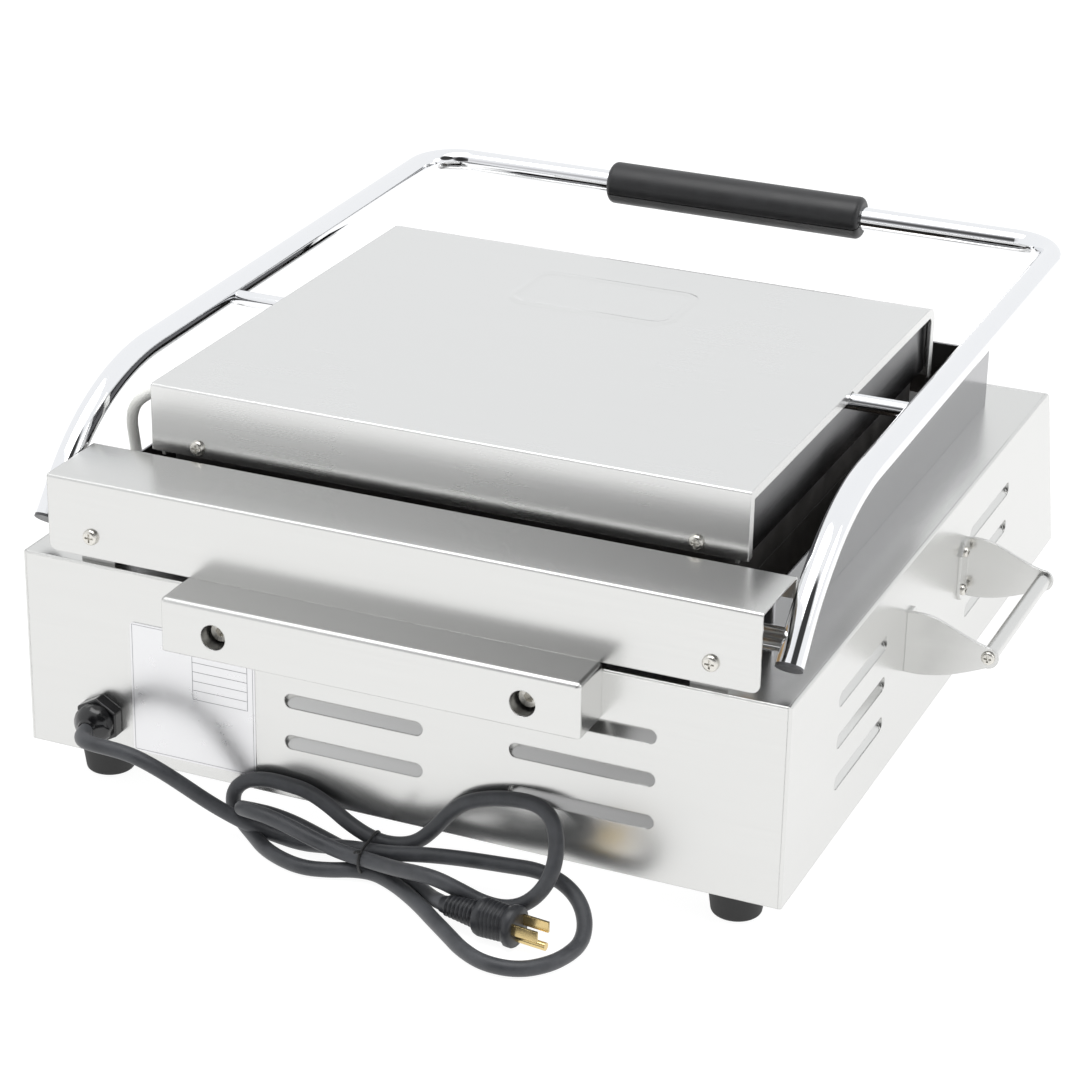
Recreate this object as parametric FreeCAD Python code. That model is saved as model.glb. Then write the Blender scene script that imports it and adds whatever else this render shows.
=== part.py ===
import FreeCAD, Part
import math
import os

# Countertop panini press (contact grill), millimetres.
# +X is the user's right, -Y the user's side (front), +Y the rear with the mains lead, +Z up.
# Origin: middle of the footprint, on the surface that the rubber feet stand on.

V = FreeCAD.Vector

# ---------------------------------------------------------------- driving dimensions
W = 478.0            # housing width
H = 124.0            # housing height without the feet
FOOT = 25.0          # rubber foot height
D_TOP = 521.0        # housing depth at the top edge of the sloped front
D_BOT = 564.0        # housing depth at the bottom edge of the sloped front
YR = 266.75          # Y of the rear panel's outer face
T = 1.5              # housing sheet
TS = 2.0             # side panel sheet with its folded edge
BEND = 8.0           # bend between the deck and the sloped front

SHAFT_V, SHAFT_Z = 25.5, 150.5     # hinge shaft axis: from the rear face, above the housing bottom
SHAFT_R = 7.0
TUBE_R, TUBE_RI = 8.0, 6.5         # chrome handle tube
ARM_X = 231.0                      # arm centre lines
ARM_END = (16.5, 139.8)            # lower end of an arm (v, z)
ARM_KNEE = (73.9, 206.5)           # corner of the arm's centre line before rounding
KNEE_R = 150.0
ARM_FRONT = (548.6, 216.0)         # cross bar (v, z)
CORNER_R = 30.0
ROD_V, ROD_Z, ROD_R = 239.0, 207.2, 5.0    # pivot rod that carries the lid

LID_X = 187.7                      # lid half width
LID_V0, LID_V1 = 65.7, 407.0
LID_Z0, LID_ZF, LID_Z1 = 172.8, 166.0, 214.4
LT = 1.2                           # lid sheet
LID_BEND = 12.0
PLATE_Z = 148.0                    # cooking surface of the lower plate
PLATE_X = 178.0
GROOVE_PITCH, GROOVE_W, GROOVE_D = 10.0, 5.0, 3.0

COV_X, COV_D, COV_Z0, COV_Z1 = 220.3, 54.7, 128.0, 175.5    # hinge cover
BOX_X, BOX_D, BOX_Z0, BOX_Z1 = 129.6, 31.0, 95.0, 128.0     # spring box on the rear
ADJ_X, ADJ_Z = 95.5, 109.5                                  # spring tension screws

GUARD_X, GUARD_V0, GUARD_V1, GUARD_Z1 = 206.2, 61.0, 480.0, 162.0

LOUVRE_L, LOUVRE_H, LOUVRE_D = 88.0, 9.0, 6.0
LOUVRE_Z = (36.0, 62.5, 89.0)
REAR_LOUVRE_X = (23.0, -118.5)
SIDE_LOUVRE_V = (129.0, 386.0)

HANDLE_V = (211.0, 335.0)          # the two plates of a side carrying handle
HANDLE_Z = 72.0
HANDLE_OUT = 51.0                  # bar axis outside the side panel
BAR_R = 4.75

GRIP_L, GRIP_R = 185.0, 14.5

GLAND_X, GLAND_Z = 189.0, 25.0
CORD_D = 9.0

TRAY_X, TRAY_Z0, TRAY_Z1 = 76.0, 12.0, 44.0


def P(x, v, z):
    """x across, v forward from the rear face, z above the housing bottom."""
    return V(x, YR - v, z + FOOT)


def box(x0, x1, v0, v1, z0, z1):
    return Part.makeBox(x1 - x0, v1 - v0, z1 - z0, V(x0, YR - v1, z0 + FOOT))


def cylx(x0, x1, v, z, r):
    return Part.makeCylinder(r, x1 - x0, P(x0, v, z), V(1, 0, 0))


def cylv(x, v0, v1, z, r):
    return Part.makeCylinder(r, v1 - v0, P(x, v0, z), V(0, -1, 0))


def cylz(x, v, z0, z1, r):
    return Part.makeCylinder(r, z1 - z0, P(x, v, z0), V(0, 0, 1))


def prism_x(pts, x0, x1):
    """Closed (v, z) polygon pulled along X."""
    w = Part.makePolygon([P(x0, a, b) for a, b in pts] + [P(x0, *pts[0])])
    return Part.Face(w).extrude(V(x1 - x0, 0, 0))


def union(shapes):
    s = shapes[0]
    if len(shapes) > 1:
        s = s.fuse(shapes[1:])
    s = s.removeSplitter()
    return s


def fillet(shape, r, test):
    edges = [e for e in shape.Edges if test(e)]
    return shape.makeFillet(r, edges) if edges else shape


def mid(e):
    return e.valueAt((e.FirstParameter + e.LastParameter) / 2.0)


def mirror_x(s):
    return s.mirror(V(0, 0, 0), V(1, 0, 0))


def route(points, radii=None, label=None):
    """Straight runs joined by tangent arcs. Points are vectors."""
    n = len(points)
    edges, start = [], points[0]
    got = []
    for i in range(1, n - 1):
        a, b, c = points[i - 1], points[i], points[i + 1]
        d1, d2 = (b - a), (c - b)
        l1, l2 = d1.Length, d2.Length
        d1.normalize()
        d2.normalize()
        turn = d1.getAngle(d2)
        th = math.tan(turn / 2.0)
        r = radii[i] if radii and radii[i] else 0.45 * min(l1, l2) / th
        t = r * th
        p, q = b - d1 * t, b + d2 * t
        bis = d2 - d1
        bis.normalize()
        centre = b + bis * (r / math.cos(turn / 2.0))
        m = b - centre
        m.normalize()
        m = centre + m * r
        if (p - start).Length > 1e-6:
            edges.append(Part.LineSegment(start, p).toShape())
        edges.append(Part.Arc(p, m, q).toShape())
        start = q
        got.append((round(math.degrees(turn)), round(r, 1)))
    if (points[-1] - start).Length > 1e-6:
        edges.append(Part.LineSegment(start, points[-1]).toShape())
    wire = Part.Wire(edges)
    if label:
        print(label, "length %.0f" % wire.Length, "turn/radius", got)
    return wire


def tube(points, r, radii=None, ri=None, label=None):
    wire = route(points, radii, label)
    d = points[1] - points[0]
    d.normalize()

    def sweep(rr):
        prof = Part.Wire([Part.makeCircle(rr, points[0], d)])
        return wire.makePipeShell([prof], True, True)
    s = sweep(r)
    if label:
        print("   volume %.0f of %.0f" % (s.Volume, math.pi * r * r * wire.Length))
    if ri:
        s = s.cut(sweep(ri))
    return s


out = {}

# ---------------------------------------------------------------- louvres
def obround(L, h, y0, y1):
    """Obround prism centred on the origin, long along X, from y0 to y1."""
    a = (L - h) / 2.0
    r = h / 2.0
    w = Part.Wire([
        Part.LineSegment(V(-a, y0, -r), V(a, y0, -r)).toShape(),
        Part.Arc(V(a, y0, -r), V(a + r, y0, 0), V(a, y0, r)).toShape(),
        Part.LineSegment(V(a, y0, r), V(-a, y0, r)).toShape(),
        Part.Arc(V(-a, y0, r), V(-a - r, y0, 0), V(-a, y0, -r)).toShape()])
    return Part.Face(w).extrude(V(0, y1 - y0, 0))


def louvre(t):
    """Cutter and inward scoop of one pressed louvre; the sheet's outer face is y = 0, inside is -y."""
    L, h, d, g = LOUVRE_L, LOUVRE_H, LOUVRE_D, 1.0

    def wedge(LL, hh, lift):
        body = obround(LL, hh, 0, -(d + 6))
        # keep the part in front of a plane that slopes inward towards the top
        z0, z1 = -h / 2 - g - 1, h / 2 + g + 1
        y0, y1 = -0.4 - lift, -d - lift
        s = (y1 - y0) / h
        ya = y0 + s * (z0 + h / 2)
        yb = y0 + s * (z1 + h / 2)
        poly = Part.makePolygon([V(-L, 1, z0), V(-L, 1, z1), V(-L, yb, z1), V(-L, ya, z0), V(-L, 1, z0)])
        keep = Part.Face(poly).extrude(V(2 * L, 0, 0))
        return body.common(keep)
    inner = wedge(L, h, 0.0)
    outer = wedge(L + 2 * g, h + 2 * g, g)
    mouth = Part.makeBox(L - h + 2, d + 6, 3.0, V(-(L - h + 2) / 2, -(d + 6) - t, h / 2 - 1.2))
    scoop = outer.cut(inner).cut(mouth)
    scoop = scoop.cut(Part.makeBox(2 * L, 4, 40, V(-L, 0, -20)))
    cutter = obround(L, h, 1.0, -t - 0.001)
    return cutter, scoop


def add_louvres(panel, t, places, turn):
    """places: origins on the outer face; turn: rotation about Z that takes +Y to the outward normal."""
    cutter, scoop = louvre(t)
    cs, ss = [], []
    for p in places:
        for src, dst in ((cutter, cs), (scoop, ss)):
            c = src.copy()
            c.rotate(V(0, 0, 0), V(0, 0, 1), turn)
            c.translate(p)
            dst.append(c)
    return panel.cut(cs).fuse(ss).removeSplitter()


# ---------------------------------------------------------------- housing
def side_profile(x0, x1):
    s = prism_x([(0, 0), (0, H), (D_TOP, H), (D_BOT, 0)], x0, x1)
    return fillet(s, BEND, lambda e: abs(mid(e).y - (YR - D_TOP)) < 0.01 and abs(mid(e).z - (H + FOOT)) < 0.01)


def side_panel(x_in, x_out):
    s = side_profile(min(x_in, x_out), max(x_in, x_out))
    s = fillet(s, 1.5, lambda e: abs(mid(e).x - x_out) < 1e-3 and
               all(abs(v.Point.x - x_out) < 1e-3 for v in e.Vertexes) and
               (mid(e).z > H + FOOT - BEND or mid(e).y > YR - 0.01))
    turn = -90 if x_out > 0 else 90
    places = [P(x_out, v, z) for v in SIDE_LOUVRE_V for z in LOUVRE_Z]
    return add_louvres(s, TS, places, turn)


HX = W / 2.0
out["side_panel_left"] = side_panel(-HX + TS, -HX)
out["side_panel_right"] = side_panel(HX - TS, HX)

deck = box(-HX + TS, HX - TS, 0, D_TOP - BEND, H - T, H)
deck = fillet(deck, 1.2, lambda e: abs(mid(e).y - YR) < 0.01 and abs(mid(e).z - (H + FOOT)) < 0.01)
deck = deck.cut([box(-172, 172, 78, 412, H - 5, H + 5),
                 box(-60, 60, 440, 452, H - 5, H + 5),
                 box(ADJ_X - 4, ADJ_X + 4, 6, 22, H - 5, H + 5),
                 box(-ADJ_X - 4, -ADJ_X + 4, 6, 22, H - 5, H + 5),
                 cylz(213, 92, H - 5, H + 5, 4.4)])
out["deck_panel"] = deck

rear = box(-HX + TS, HX - TS, 0, T, 0, H - T)
rear = rear.cut([box(-112, 112, -1, T + 1, 99, 119), cylv(GLAND_X, -1, T + 1, GLAND_Z, 9.0)])
out["rear_panel"] = add_louvres(rear, T, [P(x, 0, z) for x in REAR_LOUVRE_X for z in LOUVRE_Z], 0)

# sloped front with its bend into the deck
slope = math.atan2(D_BOT - D_TOP, H)
def front_region(off, bend, v_in):
    dz = off
    v_top = D_TOP + dz * math.tan(slope) - off / math.cos(slope)
    v_bot = D_BOT - off / math.cos(slope)
    s = prism_x([(v_in, 0), (v_in, H - dz), (v_top, H - dz), (v_bot, 0)], -HX + TS, HX - TS)
    return fillet(s, bend, lambda e: abs(mid(e).z - (H - dz + FOOT)) < 0.01 and abs(mid(e).y - (YR - v_top)) < 0.05)
front = front_region(0, BEND, D_TOP - BEND).cut(front_region(T, BEND - T, D_TOP - BEND - 5))
def on_slope(x, z, n):
    """Point on the sloped front at height z, n outward from its face."""
    v = D_TOP + (H - z) * math.tan(slope)
    return P(x, v + n * math.cos(slope), z + n * math.sin(slope))
NF = V(0, -math.cos(slope), math.sin(slope))     # outward normal of the sloped front
def cyl_front(x, z, n0, n1, r):
    return Part.makeCylinder(r, n1 - n0, on_slope(x, z, n0), NF)
def box_front(x0, x1, z, up0, up1, n0, n1):
    """Box square to the sloped front: x range, range along the slope about height z, range along the normal."""
    b = Part.makeBox(x1 - x0, n1 - n0, up1 - up0, V(x0, -n1, up0))
    b.rotate(V(0, 0, 0), V(1, 0, 0), -math.degrees(slope))
    b.translate(on_slope(0, z, 0))
    return b
KNOB_X, KNOB_Z = 130.0, 76.0
SW_X, SW_Z = -130.0, 76.0
LAMP_X, LAMP_Z = 78.0, 76.0
front = front.cut([cyl_front(KNOB_X, KNOB_Z, -6, 6, 5.0), cyl_front(LAMP_X, LAMP_Z, -6, 6, 5.0),
                   box_front(SW_X - 14.2, SW_X + 14.2, SW_Z, -10.2, 10.2, -6, 6),
                   box(-TRAY_X - 1.5, TRAY_X + 1.5, 500, 600, TRAY_Z0 - 2, TRAY_Z1 + 1)])
out["front_panel"] = front

bottom = box(-HX + TS, HX - TS, T, D_BOT - 4.5, 0, T)
bottom = bottom.cut([box(x - 3, x + 3, v, v + 60, -1, 3) for x in (-150, -130, -110, 110, 130, 150) for v in (130, 330)])
out["bottom_plate"] = bottom

feet = []
for x in (-203.0, 203.0):
    for v in (30.0, 525.0):
        f = Part.makeCone(14.5, 18.0, FOOT, V(x, YR - v, 0), V(0, 0, 1))
        f = f.makeFillet(2.5, [e for e in f.Edges if abs(mid(e).z) < 0.01])
        feet.append(f)
out["rubber_feet"] = Part.makeCompound(feet)

out["rating_plate"] = fillet(box(86, 168, -0.5, 0, 8, 92), 3.0,
                             lambda e: abs(abs(e.tangentAt(e.FirstParameter).y) - 1) < 1e-6)

# ---------------------------------------------------------------- spring box on the rear
sb = box(-BOX_X, BOX_X, -BOX_D, 0, BOX_Z0, BOX_Z1)
sb = fillet(sb, 3.0, lambda e: (abs(mid(e).z - (BOX_Z1 + FOOT)) < 0.01 and mid(e).y > YR + 1) or
            (abs(mid(e).y - (YR + BOX_D)) < 0.01 and abs(abs(mid(e).x) - BOX_X) < 0.01))
sb = sb.cut(box(-BOX_X + 1.2, BOX_X - 1.2, -BOX_D + 1.2, 1, BOX_Z0 - 1, BOX_Z1 - 1.2))
collars = []
for x in (-ADJ_X, ADJ_X):
    sb = sb.cut(cylv(x, -BOX_D - 1, -BOX_D + 2, ADJ_Z, 7.8))
    c = cylv(x, -BOX_D + 1.2, -12, ADJ_Z, 9.4).cut([cylv(x, -BOX_D - 1, -14, ADJ_Z, 7.8), cylv(x, -15, -11, ADJ_Z, 4.05)])
    collars.append(c)
out["spring_box"] = sb.removeSplitter()
out["tension_collars"] = Part.makeCompound(collars)

screws = []
for x in (-ADJ_X, ADJ_X):
    s = cylv(x, -22, -14, ADJ_Z, 6.0).fuse(cylv(x, -14, 11.9, ADJ_Z, 4.0))
    hexa = Part.Face(Part.makePolygon([P(x + 3.2 * math.cos(math.radians(a)), -23, ADJ_Z + 3.2 * math.sin(math.radians(a)))
                                       for a in range(0, 361, 60)])).extrude(V(0, -5, 0))
    screws.append(s.cut(hexa))
out["tension_screws"] = Part.makeCompound(screws)

# ---------------------------------------------------------------- hinge
cov = prism_x([(0, COV_Z0), (0, COV_Z1), (COV_D, COV_Z1), (COV_D, 162.0), (COV_D - 1.2, 162.0),
               (COV_D - 1.2, COV_Z1 - 1.2), (1.2, COV_Z1 - 1.2), (1.2, COV_Z0)], -COV_X, COV_X)
cov = fillet(cov, 2.0, lambda e: abs(mid(e).z - (COV_Z1 + FOOT)) < 0.01 and abs(e.tangentAt(e.FirstParameter).x) > 0.99)
cov = fillet(cov, 0.9, lambda e: abs(mid(e).z - (COV_Z1 - 1.2 + FOOT)) < 0.01 and abs(e.tangentAt(e.FirstParameter).x) > 0.99)
cov = fillet(cov, 5.0, lambda e: abs(mid(e).z - (COV_Z0 + FOOT)) < 0.01 and abs(abs(mid(e).x) - COV_X) < 0.01
             and abs(e.tangentAt(e.FirstParameter).y) > 0.99)
cov = cov.cut([cylv(x, -1, 3, 141.0, 2.3) for x in (-192.0, 192.0)])
out["hinge_cover"] = cov

brk = []
b = union([box(195, 201, 4, 48, H, 170), box(179, 201, 4, 48, H, H + 3), box(182, 201, 1.2, 7, 128, 160)])
b = b.cut([cylx(190, 205, SHAFT_V, SHAFT_Z, 10.0), cylv(192, 0, 9, 141.0, 2.3)])
brk = [b, mirror_x(b)]
out["hinge_brackets"] = Part.makeCompound(brk)
bu = cylx(193, 204, SHAFT_V, SHAFT_Z, 10.0).fuse(cylx(201, 204, SHAFT_V, SHAFT_Z, 12.5))
bu = bu.cut(cylx(190, 206, SHAFT_V, SHAFT_Z, SHAFT_R + 0.05)).removeSplitter()
out["hinge_bushings"] = Part.makeCompound([bu, mirror_x(bu)])

# counterbalance torsion springs, shown as closed sleeves, with the leg that the screw pushes
sp = cylx(68.5, 97.5, SHAFT_V, SHAFT_Z, 13.5).cut(cylx(60, 99, SHAFT_V, SHAFT_Z, 9.3))
sp = sp.fuse(cylz(ADJ_X, SHAFT_V - 11.5, 102, SHAFT_Z, 2.0)).removeSplitter()
out["counter_springs"] = Part.makeCompound([sp, mirror_x(sp)])

# ---------------------------------------------------------------- cooking plates and what is under them
def ribbed(x, v0, v1, z_skirt, z_inner, z_face, up):
    lo, hi = min(z_skirt, z_face), max(z_skirt, z_face)
    s = box(-x, x, v0, v1, lo, hi)
    s = fillet(s, 6.0, lambda e: abs(abs(e.tangentAt(e.FirstParameter).z) - 1) < 1e-6)
    s = s.cut(box(-x + 6, x - 6, v0 + 6, v1 - 6, min(z_skirt, z_inner) - (0 if z_skirt > z_inner else 1),
                  max(z_skirt, z_inner) + (1 if z_skirt > z_inner else 0)))
    cuts = []
    n = int((x - 12) / GROOVE_PITCH)
    for i in range(-n, n + 1):
        c = i * GROOVE_PITCH
        g0, g1 = GROOVE_W / 2, GROOVE_W / 2 - 1.2
        pts = [V(c - g0, YR - v0 - 11, z_face + up * 0.5 + FOOT), V(c + g0, YR - v0 - 11, z_face + up * 0.5 + FOOT),
               V(c + g1, YR - v0 - 11, z_face - up * GROOVE_D + FOOT), V(c - g1, YR - v0 - 11, z_face - up * GROOVE_D + FOOT)]
        f = Part.Face(Part.makePolygon(pts + [pts[0]]))
        cuts.append(f.extrude(V(0, -(v1 - v0 - 22), 0)))
    return s.cut(cuts)


out["lower_plate"] = ribbed(PLATE_X, 70, 420, H, 138.5, PLATE_Z, 1)
out["upper_plate"] = ribbed(PLATE_X, 72, 400, 170, 157.8, PLATE_Z + 0.3, -1)


def heater(z, v0, v1):
    left = [P(-18, v0 + 30, z), P(-18, v1, z), P(-84, v1, z), P(-84, v0 + 30, z), P(-150, v0 + 30, z), P(-150, v1, z)]
    rad = [None, 16, 16, 16, 16, None]
    a = tube(left, 4.0, rad)
    return [a, mirror_x(a)]


out["lower_heaters"] = Part.makeCompound(heater(134.3, 70, 395))
out["upper_heaters"] = Part.makeCompound(heater(162.1, 70, 380))
out["lower_insulation"] = box(-165, 165, 84, 406, 117, 127.5)
pan = box(-168, 168, 81, 409, 115, 122.4).cut(box(-166.8, 166.8, 82.2, 407.8, 116.2, 123))
pan = pan.cut(box(-165, 165, 84, 406, 116, 123))
out["heat_shield_pan"] = pan
ins = box(-168, 168, 84, 388, 170.2, 188)
out["upper_insulation"] = ins

guard = box(-GUARD_X, GUARD_X, GUARD_V0, GUARD_V1, H, GUARD_Z1)
guard = fillet(guard, 1.5, lambda e: abs(abs(e.tangentAt(e.FirstParameter).z) - 1) < 1e-6)
guard = guard.cut([box(-GUARD_X + 1.2, GUARD_X - 1.2, GUARD_V0 + 1.2, GUARD_V1 - 1.2, H - 1, GUARD_Z1 + 1),
                   box(-132, 132, 400, 500, H - 1, GUARD_Z1 + 1)])
out["splash_guard"] = guard

# ---------------------------------------------------------------- arm assembly
K = [P(-ARM_X, *ARM_END), P(-ARM_X, *ARM_KNEE), P(-ARM_X, *ARM_FRONT), P(ARM_X, *ARM_FRONT), P(ARM_X, *ARM_KNEE), P(ARM_X, *ARM_END)]
KR = [None, KNEE_R, CORNER_R, CORNER_R, KNEE_R, None]
tube_outer = tube(K, TUBE_R, KR)
out["handle_tube"] = tube(K, TUBE_R, KR, TUBE_RI, "handle")
shaft = cylx(-ARM_X + 2, ARM_X - 2, SHAFT_V, SHAFT_Z, SHAFT_R)
out["hinge_shaft"] = max(shaft.cut(tube_outer).Solids, key=lambda s: s.Volume)
rod = cylx(-ARM_X + 2, ARM_X - 2, ROD_V, ROD_Z, ROD_R)
out["pivot_rod"] = max(rod.cut(tube_outer).Solids, key=lambda s: s.Volume)
dk = K[0] - K[1]
dk.normalize()
pl = []
for k in (K[0], K[5]):
    c = Part.makeCylinder(TUBE_RI, 9.0, k - dk * 9.0, dk).fuse(Part.makeCylinder(TUBE_R, 1.6, k, dk))
    pl.append(c.removeSplitter())
out["arm_end_plugs"] = Part.makeCompound(pl)
collar = cylx(58, 67.5, SHAFT_V, SHAFT_Z, 12.0).cut(cylx(57, 69, SHAFT_V, SHAFT_Z, SHAFT_R))
out["spring_collars"] = Part.makeCompound([collar, mirror_x(collar)])

gv, gz = ARM_FRONT
g = cylx(-GRIP_L / 2, GRIP_L / 2, gv, gz, GRIP_R)
g = g.makeFillet(4.0, [e for e in g.Edges if e.Curve.TypeId == "Part::GeomCircle"])
g = g.cut(cylx(-GRIP_L, GRIP_L, gv, gz, TUBE_R))
upper = g.common(box(-GRIP_L, GRIP_L, gv - 40, gv + 40, gz + 0.4, gz + 40))
lower = g.common(box(-GRIP_L, GRIP_L, gv - 40, gv + 40, gz - 40, gz - 0.4))
for s in (upper, lower):
    s.rotate(P(0, gv, gz), V(1, 0, 0), -20)
out["grip_shells"] = Part.makeCompound([upper, lower])

# ---------------------------------------------------------------- lid
def lid_profile(off, x0, x1, zlow):
    s = prism_x([(LID_V0 + off, zlow), (LID_V0 + off, LID_Z1 - off), (LID_V1 - off, LID_Z1 - off), (LID_V1 - off, zlow)], x0, x1)
    r = max(LID_BEND - off, 3.0)
    s = fillet(s, r, lambda e: abs(mid(e).z - (LID_Z1 - off + FOOT)) < 0.01 and abs(mid(e).y - (YR - LID_V1 + off)) < 0.01)
    return s


lid = lid_profile(0, -LID_X, LID_X, LID_ZF)
lid = fillet(lid, 1.5, lambda e: abs(mid(e).z - (LID_Z1 + FOOT)) < 0.01 and abs(mid(e).y - (YR - LID_V0)) < 0.01)
lid = lid.cut([lid_profile(LT, -LID_X + LT, LID_X - LT, LID_ZF - 5),
               lid_profile(6.5, -LID_X - 5, LID_X + 5, LID_ZF - 5),
               box(-300, 300, LID_V0 - 5, LID_V0 + 40, LID_ZF - 5, LID_Z0)])
lid = lid.cut([cylx(-300, 300, ROD_V, ROD_Z, ROD_R + 0.6)] +
              [cylv(x, LID_V0 - 3, LID_V0 + 3, 179.0, 2.2) for x in (-157.0, 157.0)] +
              [cylv(x, LID_V1 - 3, LID_V1 + 3, 179.0, 2.2) for x in (-157.0, 157.0)])
out["lid_cover"] = lid
lp = box(182.0, 183.4, 68.5, 403.5, 171.0, 212.6)
lp = lp.cut([cylx(170, 190, ROD_V, ROD_Z, ROD_R + 0.6)])
lp = fillet(lp, 14.0, lambda e: abs(mid(e).z - (212.6 + FOOT)) < 0.01 and abs(mid(e).y - (YR - 403.5)) < 0.01)
lpl = lp
lpr = mirror_x(lp)
lpl = lp.cut(cylx(170, 190, 98, 200.5, 5.0))
out["lid_side_panels"] = Part.makeCompound([lpl, lpr])
frame_parts = [box(-181.5, 181.5, LID_V0 + LT + 0.2, LID_V0 + LT + 2.2, 172.8, 186), box(-181.5, 181.5, LID_V1 - LT - 2.2, LID_V1 - LT - 0.2, 168, 186),
               box(179.8, 181.8, LID_V0 + LT + 0.2, LID_V1 - LT - 0.2, 170.2, 184), box(-181.8, -179.8, LID_V0 + LT + 0.2, LID_V1 - LT - 0.2, 170.2, 184)]
lf = union(frame_parts)
lf = lf.cut([cylv(x, LID_V0, LID_V0 + 6, 179.0, 2.2) for x in (-157.0, 157.0)] + [cylv(x, LID_V1 - 6, LID_V1, 179.0, 2.2) for x in (-157.0, 157.0)] +
            [box(-300, 300, 60, 420, 165, 170.2)])
out["lid_frame"] = lf
sl = box(166, 180.5, ROD_V - 11, ROD_V + 11, 194.0, LID_Z1 - LT).cut(cylx(160, 190, ROD_V, ROD_Z, ROD_R + 0.05))
out["rod_bearings"] = Part.makeCompound([sl, mirror_x(sl)])

# pan head screws with a cross recess, head outward along +n
def pan_screw(p, n, rh, hh, rs, ls):
    head = Part.makeCylinder(rh, hh, p, n)
    head = head.makeFillet(hh * 0.75, [e for e in head.Edges if abs((mid(e) - p).dot(n) - hh) < 0.01 and e.Curve.TypeId == "Part::GeomCircle"])
    s = head.fuse(Part.makeCylinder(rs, ls, p, n * -1)) if ls else head
    a = n.cross(V(0, 0, 1))
    if a.Length < 0.1:
        a = V(1, 0, 0)
    a.normalize()
    b = n.cross(a)
    for u, w in ((a, b), (b, a)):
        o = p + n * (hh - 1.3)
        c1 = o + u * (-rh * 0.55) + w * -0.55
        pts = [c1, c1 + u * (rh * 1.1), c1 + u * (rh * 1.1) + w * 1.1, c1 + w * 1.1, c1]
        s = s.cut(Part.Face(Part.makePolygon(pts)).extrude(n * 4))
    return s


back, ahead = V(0, 1, 0), V(0, -1, 0)
out["lid_screws"] = Part.makeCompound([pan_screw(P(x, LID_V0, 179.0), back, 4.6, 2.8, 2.1, 3.2) for x in (-157.0, 157.0)] +
                                      [pan_screw(P(x, LID_V1, 179.0), ahead, 4.6, 2.8, 2.1, 3.2) for x in (-157.0, 157.0)])
out["cover_screws"] = Part.makeCompound([pan_screw(P(x, 0, 141.0), back, 4.9, 2.8, 2.2, 6.5) for x in (-192.0, 192.0)])

# flexible conduit from the deck to the lid, in two lengths that meet half way
cond = [P(213, 92, 126.5), P(213, 92, 146), P(213.3, 88, 168), P(212, 86, 186), P(204, 88.5, 197), P(195, 94.0, 200.5), P(184.0, 98, 200.5)]
low = cond[:4]
high = [cond[3]] + cond[4:]
split = cond[3]
dirs = (cond[4] - cond[2])
dirs.normalize()
low = cond[:3] + [split - dirs * 5, split]
high = [split, split + dirs * 5, cond[4], cond[5], cond[6]]
out["conduit_lower"] = tube(low, 3.5, None, None, "conduit low")
out["conduit_upper"] = tube(high, 3.5, None, None, "conduit high")
fb = cylz(213, 92, H, H + 2.5, 6.0).fuse(cylz(213, 92, H - 8, H, 4.3)).removeSplitter()
out["conduit_gland_deck"] = fb
fl = cylx(183.4, 189.5, 98, 200.5, 6.0).cut(cylx(183, 190, 98, 200.5, 3.6))
out["conduit_ferrule_lid"] = fl

# ---------------------------------------------------------------- side carrying handles
def handle_plate(v, inward):
    """Tapered plate square to the side panel, with a flange turned inward."""
    x0, x1 = HX, HX + HANDLE_OUT
    zc = HANDLE_Z
    t = 2.0
    va, vb = (v, v + t) if inward > 0 else (v - t, v)
    top = [(x0, zc + 19.5), (x0 + 4, zc + 20), (x0 + 14, zc + 19.6), (x0 + 26, zc + 15.5), (x0 + 38, zc + 10.2), (x1 - 1, zc + 6.4)]
    bot = [(x1 - 1, zc - 7.0), (x0 + 38, zc - 12.2), (x0 + 24, zc - 17.0), (x0 + 12, zc - 19.3), (x0, zc - 19.5)]
    sp1 = Part.BSplineCurve()
    sp1.interpolate([V(a, YR - va, b + FOOT) for a, b in top])
    sp2 = Part.BSplineCurve()
    sp2.interpolate([V(a, YR - va, b + FOOT) for a, b in bot])
    w = Part.Wire([sp1.toShape(),
                   Part.Arc(V(top[-1][0], YR - va, top[-1][1] + FOOT), V(x1 + 6.2, YR - va, zc + FOOT), V(bot[0][0], YR - va, bot[0][1] + FOOT)).toShape(),
                   sp2.toShape(),
                   Part.LineSegment(V(x0, YR - va, bot[-1][1] + FOOT), V(x0, YR - va, top[0][1] + FOOT)).toShape()])
    plate = Part.Face(w).extrude(V(0, -t, 0))
    f0, f1 = (vb, vb + 14) if inward > 0 else (va - 14, va)
    pts = [(f0, zc - 19.5), (f0, zc + 19.5), (f1, zc + 19.5), (f1, zc - 19.5)]
    far = f1 if inward > 0 else f0
    near = f0 if inward > 0 else f1
    pts = [(near, zc - 19.5), (near, zc + 19.5), (far - inward * 6, zc + 19.5), (far, zc + 12), (far, zc - 14), (far - inward * 5, zc - 19.5)]
    flange = prism_x(pts, x0, x0 + t)
    s = plate.fuse(flange).removeSplitter()
    vs = (near + far) / 2
    s = s.cut([cylx(x0 - 1, x0 + 4, vs, zc + 13, 2.0), cylx(x0 - 1, x0 + 4, vs, zc - 13, 2.0)])
    s = s.cut(cylv(x1, min(va, vb) - 1, max(va, vb) + 1, zc, 2.1))
    return s, vs


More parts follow.
